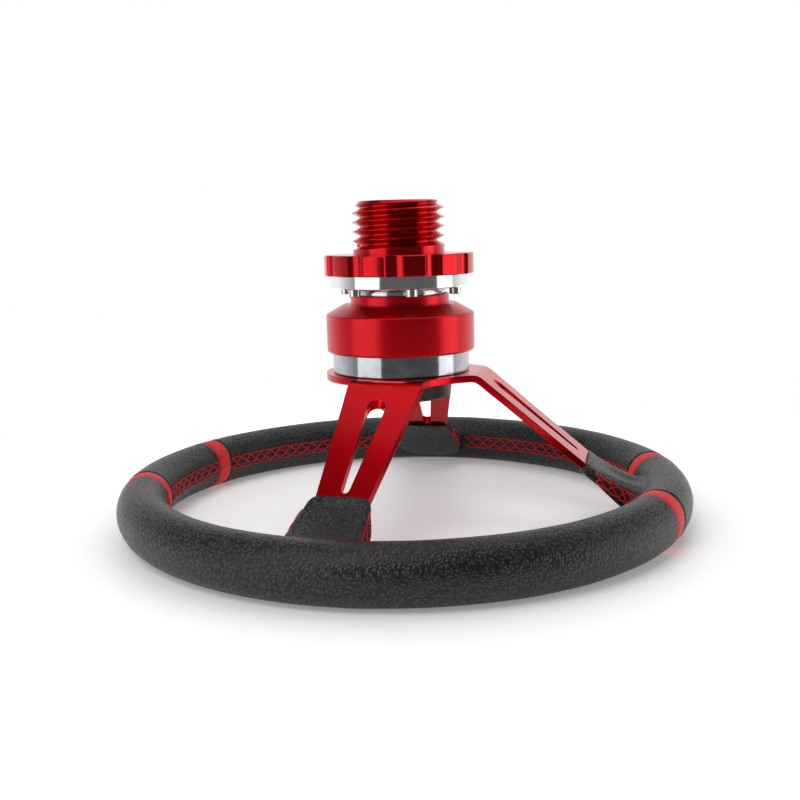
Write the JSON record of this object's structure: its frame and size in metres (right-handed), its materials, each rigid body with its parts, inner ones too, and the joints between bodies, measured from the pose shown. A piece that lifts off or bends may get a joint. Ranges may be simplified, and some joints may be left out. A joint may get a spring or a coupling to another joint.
{
  "type": "quick release steering wheel",
  "caption": "Deep dish three spoke steering wheel with a leather covered rim and a quick release hub with a sliding collar and a threaded column boss.",
  "frame": {"origin": "on the column axis, at the lowest point of the rim, which lies face down", "axes": "+Z along the column axis from the wheel to the column, +Y to the wheel's 12 o'clock, +X to its right spoke as seen from the column"},
  "size_m": [0.35, 0.35, 0.1944],
  "materials": {
    "red_anodised": "red anodised, polished",
    "red_enamel": "red powder coat, glossy",
    "polished_aluminium": "mirror polished",
    "steel": "turned steel",
    "bright_steel": "bright fasteners",
    "rim_steel": "black steel bar",
    "foam": "moulded foam",
    "grip_leather": "black pebbled leather",
    "sleeve_leather": "black pebbled leather",
    "red_leather": "red leather",
    "black_plastic": "moulded",
    "contact_brass": "spring brass"
  },
  "bodies": {
    "wheel": {"spider": "red_enamel", "wheel_screws": "bright_steel", "rim_hoop": "rim_steel", "foot_rivets": "rim_steel", "rim_foam": "foam", "leather_top": "grip_leather", "leather_bottom": "grip_leather", "grip_left": "grip_leather", "grip_right": "grip_leather", "band_top_right": "red_leather", "band_top_left": "red_leather", "band_bottom_left": "red_leather", "band_bottom_right": "red_leather", "sleeve_right": "sleeve_leather", "sleeve_left": "sleeve_leather", "sleeve_bottom": "sleeve_leather", "horn_housing": "black_plastic", "horn_bezel": "black_plastic", "horn_terminals": "contact_brass", "horn_fixed_contact": "contact_brass", "horn_spring": "steel", "coupler_body": "polished_aluminium", "sleeve_snap_ring": "bright_steel", "collar_spring": "steel"},
    "horn_button": {"horn_cap": "black_plastic", "horn_moving_contact": "contact_brass"},
    "collar": {"release_collar": "red_anodised"},
    "hub": {"spigot": "steel", "mounting_disc": "polished_aluminium", "hub_cap_screws": "bright_steel", "column_boss": "red_anodised", "scalloped_flange": "red_anodised"},
    "ball_1": {"ball_1": "bright_steel"},
    "ball_2": {"ball_2": "bright_steel"},
    "ball_3": {"ball_3": "bright_steel"},
    "ball_4": {"ball_4": "bright_steel"},
    "ball_5": {"ball_5": "bright_steel"},
    "ball_6": {"ball_6": "bright_steel"},
    "ball_7": {"ball_7": "bright_steel"},
    "ball_8": {"ball_8": "bright_steel"}
  },
  "joints": [
    {"name": "collar_slide", "type": "slide", "parent": "wheel", "child": "collar", "axis": [0, 0, 1], "range_m": [0, 0.004], "deforming": ["collar_spring"]},
    {"name": "hub_release", "type": "slide", "parent": "wheel", "child": "hub", "axis": [0, 0, 1], "range_m": [0, 0.06]},
    {"name": "horn_press", "type": "slide", "parent": "wheel", "child": "horn_button", "axis": [0, 0, 1], "range_m": [0, 0.0025], "stiffness_N_per_m": 600, "springref_m": -0.001, "deforming": ["horn_spring"]},
    {"name": "ball_1_slide", "type": "slide", "parent": "wheel", "child": "ball_1", "axis": [1, 0, 0], "range_m": [-0.00195, 0]},
    {"name": "ball_2_slide", "type": "slide", "parent": "wheel", "child": "ball_2", "axis": [0.7071, 0.7071, 0], "range_m": [-0.00195, 0]},
    {"name": "ball_3_slide", "type": "slide", "parent": "wheel", "child": "ball_3", "axis": [0, 1, 0], "range_m": [-0.00195, 0]},
    {"name": "ball_4_slide", "type": "slide", "parent": "wheel", "child": "ball_4", "axis": [-0.7071, 0.7071, 0], "range_m": [-0.00195, 0]},
    {"name": "ball_5_slide", "type": "slide", "parent": "wheel", "child": "ball_5", "axis": [-1, 0, 0], "range_m": [-0.00195, 0]},
    {"name": "ball_6_slide", "type": "slide", "parent": "wheel", "child": "ball_6", "axis": [-0.7071, -0.7071, 0], "range_m": [-0.00195, 0]},
    {"name": "ball_7_slide", "type": "slide", "parent": "wheel", "child": "ball_7", "axis": [0, -1, 0], "range_m": [-0.00195, 0]},
    {"name": "ball_8_slide", "type": "slide", "parent": "wheel", "child": "ball_8", "axis": [0.7071, -0.7071, 0], "range_m": [-0.00195, 0]}
  ],
  "couplings": [
    {"joint": "ball_1_slide", "follows": "collar_slide", "ratio": -0.4875},
    {"joint": "ball_2_slide", "follows": "collar_slide", "ratio": -0.4875},
    {"joint": "ball_3_slide", "follows": "collar_slide", "ratio": -0.4875},
    {"joint": "ball_4_slide", "follows": "collar_slide", "ratio": -0.4875},
    {"joint": "ball_5_slide", "follows": "collar_slide", "ratio": -0.4875},
    {"joint": "ball_6_slide", "follows": "collar_slide", "ratio": -0.4875},
    {"joint": "ball_7_slide", "follows": "collar_slide", "ratio": -0.4875},
    {"joint": "ball_8_slide", "follows": "collar_slide", "ratio": -0.4875}
  ]
}
